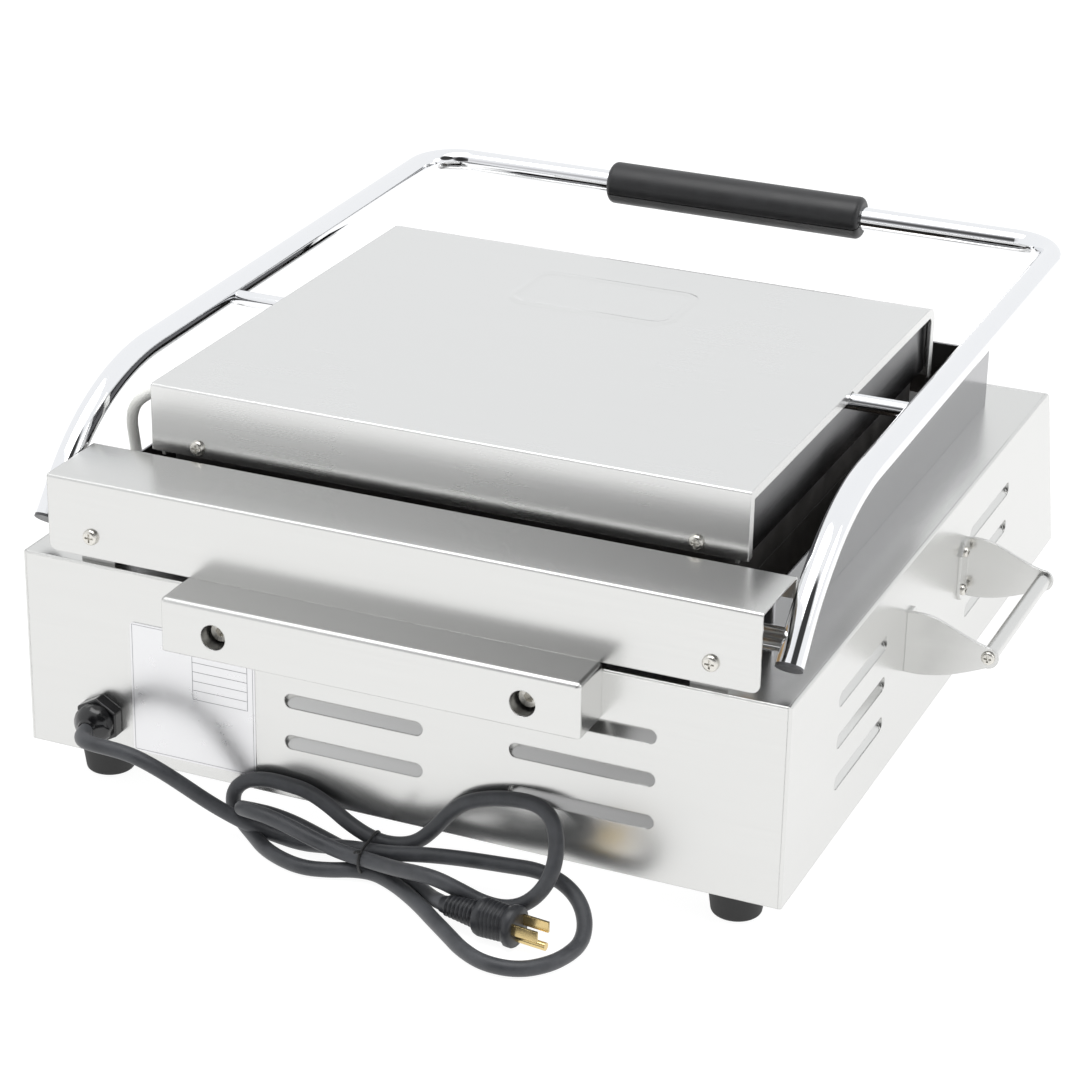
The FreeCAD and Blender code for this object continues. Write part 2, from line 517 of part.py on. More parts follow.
a, va_ = handle_plate(HANDLE_V[0], 1)
b, vb_ = handle_plate(HANDLE_V[1], -1)
bar = cylv(HX + HANDLE_OUT, HANDLE_V[0] + 2, HANDLE_V[1] - 2, HANDLE_Z, BAR_R)
out["side_handle_brackets"] = Part.makeCompound([a, b, mirror_x(a), mirror_x(b)])
out["side_handle_bars"] = Part.makeCompound([bar, mirror_x(bar)])
hs = []
for sx in (1, -1):
    for vs in (va_, vb_):
        for dz in (13, -13):
            s = pan_screw(P(HX + 2, vs, HANDLE_Z + dz), V(1, 0, 0), 3.6, 2.2, 1.9, 1.9)
            hs.append(s if sx > 0 else mirror_x(s))
    for v, n in ((HANDLE_V[0], back), (HANDLE_V[1], ahead)):
        s = pan_screw(P(HX + HANDLE_OUT, v, HANDLE_Z), n, 4.2, 2.2, 2.0, 1.9)
        hs.append(s if sx > 0 else mirror_x(s))
out["side_handle_screws"] = Part.makeCompound(hs)

# ---------------------------------------------------------------- controls
therm = cyl_front(KNOB_X, KNOB_Z, -34, -1.5, 19.0)
out["thermostat_body"] = therm.cut(cyl_front(KNOB_X, KNOB_Z, -20, 0, 3.1))
out["knob_shaft"] = cyl_front(KNOB_X, KNOB_Z, -18, 8, 3.0)
kn = cyl_front(KNOB_X, KNOB_Z, 0.6, 18.0, 19.0)
kn = kn.makeFillet(2.5, [e for e in kn.Edges if e.Curve.TypeId == "Part::GeomCircle" and (mid(e) - on_slope(KNOB_X, KNOB_Z, 18)).dot(NF) > -0.1])
kn = kn.cut([cyl_front(KNOB_X, KNOB_Z, 0, 2.5, 16.5), cyl_front(KNOB_X, KNOB_Z, 0, 8, 3.0)])
kn = kn.cut(box_front(KNOB_X - 1.0, KNOB_X + 1.0, KNOB_Z, 8, 20, 17.2, 19))
out["thermostat_knob"] = kn

bez = box_front(SW_X - 16, SW_X + 16, SW_Z, -12, 12, 0, 2.2).fuse(box_front(SW_X - 14, SW_X + 14, SW_Z, -10, 10, -24, 0))
bez = bez.cut(box_front(SW_X - 12, SW_X + 12, SW_Z, -8, 8, -16, 4)).removeSplitter()
out["switch_body"] = bez
PIV_N = -1.0
rk = cylx(SW_X - 11.5, SW_X + 11.5, 0, 0, 7.4)
rk.translate(on_slope(SW_X, SW_Z, PIV_N) - P(SW_X, 0, 0))
top = box_front(SW_X - 13, SW_X + 13, SW_Z, -20, 20, PIV_N + 3.0, PIV_N + 25)
top.rotate(on_slope(SW_X, SW_Z, PIV_N + 3.0), V(1, 0, 0), -12)
rk = rk.cut([top, box_front(SW_X - 13, SW_X + 13, SW_Z, -20, 20, PIV_N - 20, PIV_N - 2.0)])
out["power_rocker"] = rk
lamp = cyl_front(LAMP_X, LAMP_Z, 0, 3.4, 6.5)
lamp = lamp.makeFillet(2.2, [e for e in lamp.Edges if e.Curve.TypeId == "Part::GeomCircle" and (mid(e) - on_slope(LAMP_X, LAMP_Z, 3.4)).dot(NF) > -0.1])
out["indicator_lamp"] = lamp.fuse(cyl_front(LAMP_X, LAMP_Z, -16, 0, 4.9)).removeSplitter()

# ---------------------------------------------------------------- drip tray, slides out of the front
tx, t0, t1 = TRAY_X - 3, TRAY_Z0 + 1.0, TRAY_Z1 - 3
tv0, tv1 = 330.0, 546.0
tray = box(-tx, tx, tv0, tv1, t0, t1).cut(box(-tx + 1.2, tx - 1.2, tv0 + 1.2, tv1 - 1.2, t0 + 1.2, t1 + 5))
fz = (TRAY_Z0 + TRAY_Z1) / 2 - 0.5
half = (TRAY_Z1 - TRAY_Z0 + 3) / 2 / math.cos(slope) - 0.9
face = box_front(-TRAY_X - 8, TRAY_X + 8, fz, -half - 2, half + 4, 0.15, 1.65)
link = prism_x([(tv1 - 2, t0), (tv1 - 2, t1), (560, t1), (560, t0)], -tx, tx).common(box_front(-tx, tx, fz, -half, half, -30, 0.2))
pull = box_front(-38, 38, fz, half - 1.5, half, 1.6, 14.0).fuse(box_front(-38, 38, fz, half - 8.0, half, 12.6, 14.0))
out["drip_tray"] = union([tray, face, link.cut(box(-tx + 1.2, tx - 1.2, tv0, 570, t0 + 1.2, t1 + 5).common(box_front(-300, 300, fz, -60, 60, -60, 0.15))), pull])
rails = []
for sx in (1, -1):
    r = union([box(TRAY_X - 4, TRAY_X + 12, 320, 540, T, T + 1.2), box(TRAY_X + 10.8, TRAY_X + 12, 320, 540, T, TRAY_Z0 + 0.8),
               box(TRAY_X - 12, TRAY_X + 12, 320, 540, TRAY_Z0 - 0.4, TRAY_Z0 + 0.8), box(TRAY_X - 2, TRAY_X - 0.8, 320, 540, TRAY_Z0 + 0.4, TRAY_Z0 + 22)])
    rails.append(r if sx > 0 else mirror_x(r))
out["tray_rails"] = Part.makeCompound(rails)

# ---------------------------------------------------------------- supply
blk = box(140, 190, 30, 52, 40, 58).cut([cylz(x, 41, 50, 70, 3.2) for x in (150, 165, 180)])
blk = blk.fuse(box(136, 194, 22, 60, T, 40).cut(box(137.2, 192.8, 21, 61, -1, 38.8))).removeSplitter()
out["terminal_block"] = blk

gl = Part.Face(Part.makePolygon([P(GLAND_X + 15.2 * math.cos(math.radians(a)), -0, GLAND_Z + 15.2 * math.sin(math.radians(a)))
                                 for a in range(0, 361, 60)])).extrude(V(0, 8, 0))
gl = gl.fuse([cylv(GLAND_X, -12, -8, GLAND_Z, 12.2), Part.makeCone(11.0, 6.4, 8, P(GLAND_X, -12, GLAND_Z), V(0, 1, 0)),
              cylv(GLAND_X, 0, 12, GLAND_Z, 8.8)]).removeSplitter()
out["cord_gland"] = gl.cut(cylv(GLAND_X, -30, 14, GLAND_Z, CORD_D / 2 + 0.0))

# free mains lead: gland to hank, hank, one open loop, lead to the plug (absolute coordinates)
CR = CORD_D / 2
LEAD = [V(189, YR + 10, 50), V(189, YR + 22, 50.2), V(184.5, YR + 31, 51.0), V(175, YR + 36.5, 52.6), V(161, YR + 37, 52.4), V(147, YR + 36.5, 50.6), V(132.5, YR + 33.5, 43.8), V(119.2, YR + 28.7, 34.1), V(107.5, YR + 23.8, 24.5), V(95.5, YR + 19.5, 16.5), V(82.5, YR + 16.0, 10.0), V(67, YR + 14.5, 6.5)]
out["cord_lead"] = tube(LEAD, CR, [None, 18, 18, 18] + [None] * 8, None, "lead")
LOOP = [V(-83, YR + 16, 23), V(-100, YR + 16, 24.5), V(-116, YR + 17.5, 21.8), V(-129, YR + 24, 17), V(-137.5, YR + 34, 10.5), V(-141, YR + 47, 5.5), V(-139.5, YR + 61, 4.7), V(-133.5, YR + 76, 4.6), V(-120.5, YR + 88.5, 4.6), V(-101, YR + 90, 4.6), V(-84, YR + 82, 4.6), V(-70, YR + 70.5, 4.6), V(-56, YR + 59.5, 4.6), V(-42, YR + 48, 4.6), V(-26, YR + 37, 4.6)]
out["cord_loop"] = tube(LOOP, CR, None, None, "loop")
PLEAD = [V(-12, YR + 20, 4.8), V(-25, YR + 26.5, 4.8), V(-37, YR + 33.5, 5.0), V(-47, YR + 41, 6.5), V(-55, YR + 48.5, 10.0), V(-62, YR + 54, 12.5)]
out["plug_lead"] = tube(PLEAD, CR, None, None, "plug lead")
def slab(pts, z0, z1):
    w = Part.makePolygon([V(a, YR + b, z0) for a, b in pts] + [V(pts[0][0], YR + pts[0][1], z0)])
    return Part.Face(w).extrude(V(0, 0, z1 - z0))
hank = union([slab([(-118, 3), (-118, 34), (-106, 42), (-80, 44), (-62, 46), (-38, 44), (-20, 40), (6, 38), (36, 45), (60, 41), (84, 28), (99, 14), (99, 3)], 0, 17),
              slab([(-118, 3), (-118, 34), (-100, 24), (-22, 14), (-22, 3)], 0, 66), slab([(14, 3), (14, 37), (50, 37), (84, 30), (98, 16), (98, 3)], 0, 32),
              slab([(14, 3), (20, 12), (86, 12), (98, 9), (98, 3)], 0, 41), slab([(-40, 3), (-40, 40), (40, 38), (40, 3)], 0, 26)])
out["cord_hank"] = hank
tie = tube([V(2, YR + 2.0, 27.6), V(2, YR + 31.4, 27.6), V(2, YR + 37.5, 14), V(2, YR + 37.5, 1.8), V(2, YR + 2.0, 1.8)], 1.2, [None, 6, 6, 4, None])
out["cord_tie"] = tie

# grounded plug: boot, body, two blades and a round pin, pointing to -X
PLUG = V(-62, YR + 54, 12.5)
pd = V(-1, 0.12, 0)
pd.normalize()
plug = Part.makeCone(6.0, 7.5, 20, PLUG, pd)
pb = Part.makeCylinder(12.2, 26, PLUG + pd * 20, pd)
pb = pb.makeFillet(3.0, [e for e in pb.Edges if e.Curve.TypeId == "Part::GeomCircle"])
plug = plug.fuse(pb)
pins = []
o = PLUG + pd * 44
side = V(0, 0, 1)
lat = pd.cross(side)
lat.normalize()
for s in (6.35, -6.35):
    c = o + lat * s
    pins.append(Part.Face(Part.makePolygon([c + lat * 0.75 + side * 3.2 + side * 2, c - lat * 0.75 + side * 3.2 + side * 2, c - lat * 0.75 - side * 3.2 + side * 2,
                                            c + lat * 0.75 - side * 3.2 + side * 2, c + lat * 0.75 + side * 3.2 + side * 2])).extrude(pd * 18))
pins.append(Part.makeCylinder(2.4, 20, o - side * 6.5, pd))
out["plug_body"] = plug.cut(pins).removeSplitter()
out["plug_pins"] = Part.makeCompound(pins)

# internal wiring, plain looms
loom = [P(165, 60, 46), P(165, 80, 30), P(185, 120, 20), P(195, 300, 20), P(180, 460, 30), P(155, 490, 48), P(142, 496, 58)]
out["wiring_loom"] = tube(loom, 3.0, None, None, "loom")

# ---------------------------------------------------------------- write
os.makedirs("parts", exist_ok=True)
for name, shape in out.items():
    sol = shape.Solids
    ok = all(s.isValid() for s in sol)
    vol = sum(s.Volume for s in sol)
    bb = shape.BoundBox
    print("%-22s solids %2d valid %s vol %9.0f  x %7.1f %7.1f  y %7.1f %7.1f  z %6.1f %6.1f" %
          (name, len(sol), ok, vol, bb.XMin, bb.XMax, bb.YMin, bb.YMax, bb.ZMin, bb.ZMax))
    keep = sol[0] if len(sol) == 1 else Part.makeCompound(sol)
    keep.exportStep("parts/" + name + ".step")
print(len(out), "nodes")
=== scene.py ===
import bpy, bmesh, math
from mathutils import Vector, Matrix


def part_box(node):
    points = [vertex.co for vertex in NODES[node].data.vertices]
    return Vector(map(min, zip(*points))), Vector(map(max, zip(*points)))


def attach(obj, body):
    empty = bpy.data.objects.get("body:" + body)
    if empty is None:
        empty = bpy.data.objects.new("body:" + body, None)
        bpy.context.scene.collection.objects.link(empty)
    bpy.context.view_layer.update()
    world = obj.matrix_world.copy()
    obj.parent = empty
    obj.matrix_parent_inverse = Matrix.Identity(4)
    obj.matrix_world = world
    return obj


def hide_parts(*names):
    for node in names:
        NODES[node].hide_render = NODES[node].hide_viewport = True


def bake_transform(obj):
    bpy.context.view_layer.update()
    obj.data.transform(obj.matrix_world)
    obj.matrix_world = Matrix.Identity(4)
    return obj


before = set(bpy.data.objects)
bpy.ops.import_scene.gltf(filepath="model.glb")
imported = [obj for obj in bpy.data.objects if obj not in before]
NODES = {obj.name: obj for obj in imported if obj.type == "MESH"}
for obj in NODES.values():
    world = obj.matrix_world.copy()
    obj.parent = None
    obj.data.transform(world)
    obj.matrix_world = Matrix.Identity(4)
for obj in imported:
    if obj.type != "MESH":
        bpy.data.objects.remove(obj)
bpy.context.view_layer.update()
YR = 0.26675                     # rear panel's outer face


def mm(x, v, z):
    """x across, v forward from the rear face, z above the housing bottom, in mm."""
    return Vector((x / 1000.0, YR - v / 1000.0, (z + 25.0) / 1000.0))


def dd(x, d, z):
    """x across, d behind the rear face, z above the floor, in mm."""
    return Vector((x / 1000.0, YR + d / 1000.0, z / 1000.0))


# ------------------------------------------------------------------ camera
fwd = Vector((0.3584, -0.8418, -0.4036)).normalized()
right0 = Vector((-0.9201, -0.3917, 0.0)).normalized()
up0 = right0.cross(fwd).normalized()
roll = math.radians(1.1335)
right = right0 * math.cos(roll) + up0 * math.sin(roll)
up = -right0 * math.sin(roll) + up0 * math.cos(roll)
cam_data = bpy.data.cameras.new("camera")
cam = bpy.data.objects.new("camera", cam_data)
bpy.context.scene.collection.objects.link(cam)
m = Matrix.Identity(4)
for i in range(3):
    m[i][0], m[i][1], m[i][2] = right[i], up[i], -fwd[i]
m.translation = Vector((-0.7094, 1.7194, 0.9151))
cam.matrix_world = m
cam_data.sensor_width = 36.0
cam_data.lens = 106.25
cam_data.clip_start, cam_data.clip_end = 0.05, 60.0
bpy.context.scene.camera = cam


# ------------------------------------------------------------------ node helpers
def material(name):
    mt = bpy.data.materials.new(name)
    mt.use_nodes = True
    nt = mt.node_tree
    return mt, nt, nt.nodes["Principled BSDF"]


def node(nt, kind, **props):
    n = nt.nodes.new(kind)
    for k, v in props.items():
        setattr(n, k, v)
    return n


def coords(nt, scale=(1, 1, 1), rot=(0, 0, 0)):
    tc = node(nt, "ShaderNodeTexCoord")
    mp = node(nt, "ShaderNodeMapping")
    mp.inputs["Scale"].default_value = scale
    mp.inputs["Rotation"].default_value = rot
    nt.links.new(tc.outputs["Object"], mp.inputs["Vector"])
    return mp.outputs["Vector"]


def noise(nt, vec, scale, detail=3.0, rough=0.55):
    n = node(nt, "ShaderNodeTexNoise")
    n.inputs["Scale"].default_value = scale
    n.inputs["Detail"].default_value = detail
    n.inputs["Roughness"].default_value = rough
    nt.links.new(vec, n.inputs["Vector"])
    return n.outputs["Fac"]


def remap(nt, val, a, b, c, d):
    n = node(nt, "ShaderNodeMapRange")
    for k, v in zip(("From Min", "From Max", "To Min", "To Max"), (a, b, c, d)):
        n.inputs[k].default_value = v
    nt.links.new(val, n.inputs["Value"])
    return n.outputs["Result"]


def math_node(nt, op, a, b):
    n = node(nt, "ShaderNodeMath", operation=op)
    for i, v in enumerate((a, b)):
        if isinstance(v, (int, float)):
            n.inputs[i].default_value = v
        else:
            nt.links.new(v, n.inputs[i])
    return n.outputs[0]


def mix_col(nt, fac, a, b):
    n = node(nt, "ShaderNodeMix", data_type="RGBA")
    if isinstance(fac, (int, float)):
        n.inputs[0].default_value = fac
    else:
        nt.links.new(fac, n.inputs[0])
    for sock, v in ((n.inputs[6], a), (n.inputs[7], b)):
        if isinstance(v, (tuple, list)):
            sock.default_value = (*v, 1.0)
        else:
            nt.links.new(v, sock)
    return n.outputs[2]


def bump(nt, height, strength, dist, normal=None):
    n = node(nt, "ShaderNodeBump")
    n.inputs["Strength"].default_value = strength
    n.inputs["Distance"].default_value = dist
    nt.links.new(height, n.inputs["Height"])
    if normal is not None:
        nt.links.new(normal, n.inputs["Normal"])
    return n.outputs["Normal"]


def soft_edge(nt, r):
    n = node(nt, "ShaderNodeBevel", samples=3)
    n.inputs["Radius"].default_value = r
    return n.outputs["Normal"]


def steel(name, grain="X", col=(0.69, 0.69, 0.678), rough=(0.24, 0.26), aniso=0.3, edge=0.0009, strength=0.004):
    """Sheet steel brushed along one axis: fine stretched scratches, cloudy roughness, a rounded fold line."""
    mt, nt, p = material(name)
    long, fine = 14.0, 620.0
    sc = {"X": (long, fine, fine), "Y": (fine, long, fine), "Z": (fine, fine, long)}[grain]
    scratch = noise(nt, coords(nt, sc), 1.0, 1.0, 0.5)
    coarse = noise(nt, coords(nt, tuple(v * 0.45 for v in sc)), 1.0, 2.0, 0.5)
    cloud = noise(nt, coords(nt), 7.0, 3.0, 0.6)
    both = math_node(nt, "ADD", math_node(nt, "MULTIPLY", scratch, 0.7), math_node(nt, "MULTIPLY", coarse, 0.3))
    r = remap(nt, math_node(nt, "ADD", math_node(nt, "MULTIPLY", both, 0.25), math_node(nt, "MULTIPLY", cloud, 0.75)), 0.3, 0.7, rough[0], rough[1])
    nt.links.new(r, p.inputs["Roughness"])
    dark = tuple(c * 0.985 for c in col)
    nt.links.new(mix_col(nt, remap(nt, both, 0.32, 0.68, 0.0, 1.0), dark, col), p.inputs["Base Color"])
    p.inputs["Metallic"].default_value = 1.0
    p.inputs["Anisotropic"].default_value = aniso
    tv = node(nt, "ShaderNodeVectorTransform", vector_type="VECTOR", convert_from="OBJECT", convert_to="WORLD")
    tv.inputs[0].default_value = {"X": (1, 0, 0), "Y": (0, 1, 0), "Z": (0, 0, 1)}[grain]
    nt.links.new(tv.outputs[0], p.inputs["Tangent"])
    nrm = bump(nt, both, strength, 0.00012, soft_edge(nt, edge) if edge else None)
    nt.links.new(nrm, p.inputs["Normal"])
    return mt


def metal(name, col, rough, scale=60.0, strength=0.05, dark=0.85, edge=0.0):
    mt, nt, p = material(name)
    n1 = noise(nt, coords(nt), scale, 4.0, 0.6)
    n2 = noise(nt, coords(nt), scale * 14, 2.0, 0.5)
    nt.links.new(remap(nt, n1, 0.3, 0.7, rough[0], rough[1]), p.inputs["Roughness"])
    nt.links.new(mix_col(nt, n1, tuple(c * dark for c in col), col), p.inputs["Base Color"])
    p.inputs["Metallic"].default_value = 1.0
    nt.links.new(bump(nt, n2, strength, 0.0001, soft_edge(nt, edge) if edge else None), p.inputs["Normal"])
    return mt


def plastic(name, col, col2, rough, scale=90.0, grain=1500.0, strength=0.15, dist=0.00008, spec=0.5, coat=0.0, sheen=0.0, edge=0.0):
    mt, nt, p = material(name)
    n1 = noise(nt, coords(nt), scale, 4.0, 0.6)
    n2 = noise(nt, coords(nt), grain, 2.0, 0.5)
    nt.links.new(remap(nt, n1, 0.3, 0.7, rough[0], rough[1]), p.inputs["Roughness"])
    nt.links.new(mix_col(nt, remap(nt, n1, 0.35, 0.7, 0.0, 1.0), col, col2), p.inputs["Base Color"])
    p.inputs["Specular IOR Level"].default_value = spec
    p.inputs["Coat Weight"].default_value = coat
    p.inputs["Sheen Weight"].default_value = sheen
    nt.links.new(bump(nt, n2, strength, dist, soft_edge(nt, edge) if edge else None), p.inputs["Normal"])
    return mt


def braid(name, col, col2):
    """Woven glass sleeve: two crossing wave sets for the strands."""
    mt, nt, p = material(name)
    vec = coords(nt, (1, 1, 1))
    w1 = node(nt, "ShaderNodeTexWave", bands_direction="DIAGONAL")
    w1.inputs["Scale"].default_value = 260.0
    nt.links.new(vec, w1.inputs["Vector"])
    w2 = node(nt, "ShaderNodeTexWave", bands_direction="Z")
    w2.inputs["Scale"].default_value = 330.0
    nt.links.new(vec, w2.inputs["Vector"])
    h = math_node(nt, "MULTIPLY", w1.outputs["Fac"], w2.outputs["Fac"])
    nt.links.new(mix_col(nt, h, col, col2), p.inputs["Base Color"])
    nt.links.new(remap(nt, h, 0, 1, 0.75, 0.5), p.inputs["Roughness"])
    nt.links.new(bump(nt, h, 0.5, 0.0003), p.inputs["Normal"])
    return mt


M = {
    "steel_x": steel("brushed_steel_x", "X"),
    "steel_y": steel("brushed_steel_y", "Y"),
    "steel_z": steel("brushed_steel_z", "Z"),
    "lid": steel("brushed_steel_lid", "X", (0.74, 0.74, 0.732), (0.26, 0.28), 0.3),
    "guard": steel("polished_guard", "Y", (0.36, 0.36, 0.37), (0.12, 0.20), 0.4),
    # lid side panels: the near-black base colour 0.10 on this steel is a painted reflection of the dark guard wall
    # beside them
    "lidside_painted_reflection": steel("lid_side_panel", "Y", (0.10, 0.10, 0.105), (0.14, 0.26), 0.4),
    "inner": metal("mill_steel", (0.52, 0.52, 0.51), (0.34, 0.5), 40.0, 0.08, edge=0.0005),
    "chrome": metal("chrome_plate", (0.88, 0.885, 0.90), (0.035, 0.075), 30.0, 0.015, 0.97),
    "plated": metal("zinc_plate", (0.78, 0.76, 0.71), (0.20, 0.34), 220.0, 0.10, 0.8, 0.0003),
    "iron": plastic("seasoned_iron", (0.018, 0.017, 0.016), (0.045, 0.042, 0.040), (0.42, 0.62), 60.0, 900.0, 0.35, 0.0002, edge=0.0006),
    "black": plastic("moulded_black", (0.012, 0.012, 0.013), (0.022, 0.022, 0.024), (0.34, 0.46), 70.0, 1400.0, 0.16, edge=0.0005),
    "gloss": plastic("gland_nylon", (0.006, 0.006, 0.007), (0.012, 0.012, 0.013), (0.14, 0.24), 70.0, 900.0, 0.06, coat=0.3, edge=0.0005),
    "grip": plastic("grip_black", (0.014, 0.014, 0.015), (0.024, 0.024, 0.026), (0.36, 0.50), 45.0, 1200.0, 0.22, 0.0001, edge=0.0004),
    "rubber": plastic("foot_rubber", (0.016, 0.016, 0.016), (0.030, 0.030, 0.030), (0.55, 0.75), 80.0, 1100.0, 0.25, edge=0.0008),
    "cord": plastic("cord_jacket", (0.030, 0.032, 0.037), (0.060, 0.063, 0.070), (0.40, 0.58), 55.0, 700.0, 0.25, 0.00012, sheen=0.15),
    "plug": plastic("plug_vinyl", (0.016, 0.017, 0.020), (0.032, 0.034, 0.039), (0.34, 0.50), 70.0, 900.0, 0.2, edge=0.0004),
    "tie": plastic("tie_vinyl", (0.010, 0.010, 0.010), (0.022, 0.022, 0.022), (0.4, 0.55), 300.0, 2000.0, 0.2),
    "brass": metal("pin_brass", (0.80, 0.62, 0.30), (0.14, 0.28), 300.0, 0.08, 0.85, 0.0003),
    "endplug": plastic("end_plug_grey", (0.055, 0.055, 0.06), (0.085, 0.085, 0.09), (0.3, 0.45), 90.0, 900.0, 0.1, edge=0.0005),
    "bronze": metal("bush_bronze", (0.50, 0.34, 0.18), (0.35, 0.5), 300.0, 0.3),
    "conduit": braid("glass_sleeve", (0.84, 0.84, 0.80), (0.97, 0.97, 0.94)),
    "dark": metal("oxidised_steel", (0.10, 0.10, 0.105), (0.35, 0.55), 120.0, 0.15),
    "fibre": plastic("fibre_board", (0.55, 0.52, 0.45), (0.70, 0.67, 0.58), (0.8, 0.95), 120.0, 500.0, 0.6, 0.0004),
    "foil": metal("label_foil", (0.78, 0.78, 0.79), (0.26, 0.34), 90.0, 0.04, 0.95),
    "ink": plastic("label_ink", (0.16, 0.16, 0.18), (0.22, 0.22, 0.24), (0.5, 0.6), 400.0, 2000.0, 0.05),
    "lamp": plastic("lamp_lens", (0.30, 0.012, 0.008), (0.42, 0.02, 0.012), (0.08, 0.14), 200.0, 900.0, 0.03, coat=0.5),
    "white": plastic("white_moulding", (0.55, 0.54, 0.50), (0.66, 0.65, 0.61), (0.45, 0.6), 90.0, 900.0, 0.12),
    "rocker": plastic("rocker_gloss", (0.010, 0.010, 0.011), (0.018, 0.018, 0.019), (0.16, 0.26), 90.0, 900.0, 0.05, coat=0.3, edge=0.0006),
}

M["deck"] = steel("brushed_steel_deck", "X")


def paint_shade_inside(mt, x1, y0, y1, col):
    """Darkens a sheet inside one rectangle: painted shade on the deck round the hot plate, where the lid and the guard
    walls shade it.
    """
    nt = mt.node_tree
    p = nt.nodes["Principled BSDF"]
    src = p.inputs["Base Color"].links[0].from_socket
    sep = node(nt, "ShaderNodeSeparateXYZ")
    nt.links.new(coords(nt), sep.inputs[0])
    inx = math_node(nt, "LESS_THAN", math_node(nt, "ABSOLUTE", sep.outputs["X"], 0.0), x1)
    iny = math_node(nt, "MULTIPLY", math_node(nt, "GREATER_THAN", sep.outputs["Y"], y0), math_node(nt, "LESS_THAN", sep.outputs["Y"], y1))
    nt.links.new(mix_col(nt, math_node(nt, "MULTIPLY", inx, iny), src, col), p.inputs["Base Color"])


# painted shade: the deck inside the guard walls and under the lid gets a dark brown-grey base colour in place of its
# shadow
paint_shade_inside(M["deck"], 0.2045, -0.2115, 0.2050, (0.075, 0.062, 0.052))

NODE_MAT = {
    "side_panel_left": "steel_y", "side_panel_right": "steel_y", "deck_panel": "deck", "rear_panel": "steel_x", "front_panel": "steel_x",
    "bottom_plate": "inner", "rubber_feet": "rubber", "rating_plate": "foil", "spring_box": "steel_x", "tension_screws": "plated",
    "hinge_cover": "steel_x", "tension_collars": "inner", "hinge_brackets": "inner", "hinge_bushings": "bronze", "counter_springs": "dark", "lower_plate": "iron",
    "lower_heaters": "dark", "lower_insulation": "fibre", "heat_shield_pan": "inner", "splash_guard": "guard", "cover_screws": "plated",
    "conduit_lower": "conduit", "conduit_gland_deck": "plated", "side_handle_brackets": "steel_x", "side_handle_bars": "steel_y",
    "side_handle_screws": "plated", "thermostat_body": "dark", "switch_body": "black", "indicator_lamp": "lamp", "tray_rails": "inner",
    "terminal_block": "white", "cord_gland": "gloss", "cord_lead": "cord", "cord_loop": "cord", "plug_lead": "cord", "cord_hank": "cord",
    "cord_tie": "tie", "plug_body": "plug", "plug_pins": "brass", "wiring_loom": "cord", "handle_tube": "chrome", "hinge_shaft": "chrome",
    "pivot_rod": "chrome", "arm_end_plugs": "endplug", "spring_collars": "plated", "grip_shells": "grip", "upper_plate": "iron",
    "upper_heaters": "dark", "upper_insulation": "fibre", "lid_cover": "lid", "lid_side_panels": "lidside_painted_reflection", "lid_frame": "inner",
    "rod_bearings": "inner", "lid_screws": "plated", "conduit_upper": "conduit", "conduit_ferrule_lid": "plated", "drip_tray": "steel_x",
    "thermostat_knob": "black", "knob_shaft": "plated", "power_rocker": "rocker"}
for name, ob in NODES.items():
    mt = M[NODE_MAT.get(name, "inner")]
    if ob.material_slots:
        for s in ob.material_slots:
            s.material = mt
    else:
        ob.data.materials.append(mt)


# ------------------------------------------------------------------ mesh helpers
def link(name, data, mat):
    ob = bpy.data.objects.new(name, data)
    bpy.context.scene.collection.objects.link(ob)
    data.materials.append(M[mat])
    return ob


def nurbs(name, pts, r, mat, cyclic=False, res=10, bev=7):
    cu = bpy.data.curves.new(name, "CURVE")
    cu.dimensions = "3D"
    sp = cu.splines.new("NURBS")
    sp.points.add(len(pts) - 1)
    for q, c in zip(sp.points, pts):
        q.co = (c[0], c[1], c[2], 1.0)
    sp.order_u = 3
    sp.use_cyclic_u = cyclic
    if not cyclic:
        sp.use_endpoint_u = True
    sp.resolution_u = res
    cu.bevel_depth = r
    cu.bevel_resolution = bev
    cu.use_fill_caps = True
    return link(name, cu, mat)


def as_mesh(ob):
    """The curve's own mesh, as a new object in its place."""
    bpy.context.view_layer.update()
    me = bpy.data.meshes.new_from_object(ob.evaluated_get(bpy.context.evaluated_depsgraph_get()))
    name, mats = ob.name, list(ob.data.materials)
    bpy.data.objects.remove(ob)
    me.name = name
    new = bpy.data.objects.new(name, me)
    bpy.context.scene.collection.objects.link(new)
    if not me.materials:
        for x in mats:
            me.materials.append(x)
    for f in me.polygons:
        f.use_smooth = True
    return new


def axis_frame(origin, axis):
    a = Vector(axis).normalized()
    h = Vector((0, 0, 1)) if abs(a.z) < 0.9 else Vector((1, 0, 0))
    u = h.cross(a).normalized()
    w = a.cross(u)
    return Matrix(((u.x, w.x, a.x, origin[0]), (u.y, w.y, a.y, origin[1]), (u.z, w.z, a.z, origin[2]), (0, 0, 0, 1)))


def lathe(name, prof, origin, axis, mat, seg=48, wobble=None, smooth=True):
    """Profile (radius, along) in mm turned about an axis. wobble(angle, along) scales the radius."""
    bm = bmesh.new()
    rings = []
    for r, t in prof:
        ring = []
        for i in range(seg):
            a = 2 * math.pi * i / seg
            k = wobble(a, t) if wobble else 1.0
            ring.append(bm.verts.new((r * k * math.cos(a) / 1000, r * k * math.sin(a) / 1000, t / 1000)))
        rings.append(ring)
    for a, b in zip(rings, rings[1:]):
        for i in range(seg):
            j = (i + 1) % seg
            bm.faces.new((a[i], a[j], b[j], b[i]))
    bm.faces.new(list(reversed(rings[0])))
    bm.faces.new(rings[-1])
    bmesh.ops.recalc_face_normals(bm, faces=bm.faces)
    me = bpy.data.meshes.new(name)
    bm.to_mesh(me)
    bm.free()
    if smooth:
        for f in me.polygons:
            f.use_smooth = True
    ob = link(name, me, mat)
    ob.matrix_world = axis_frame(origin, axis)
    return ob


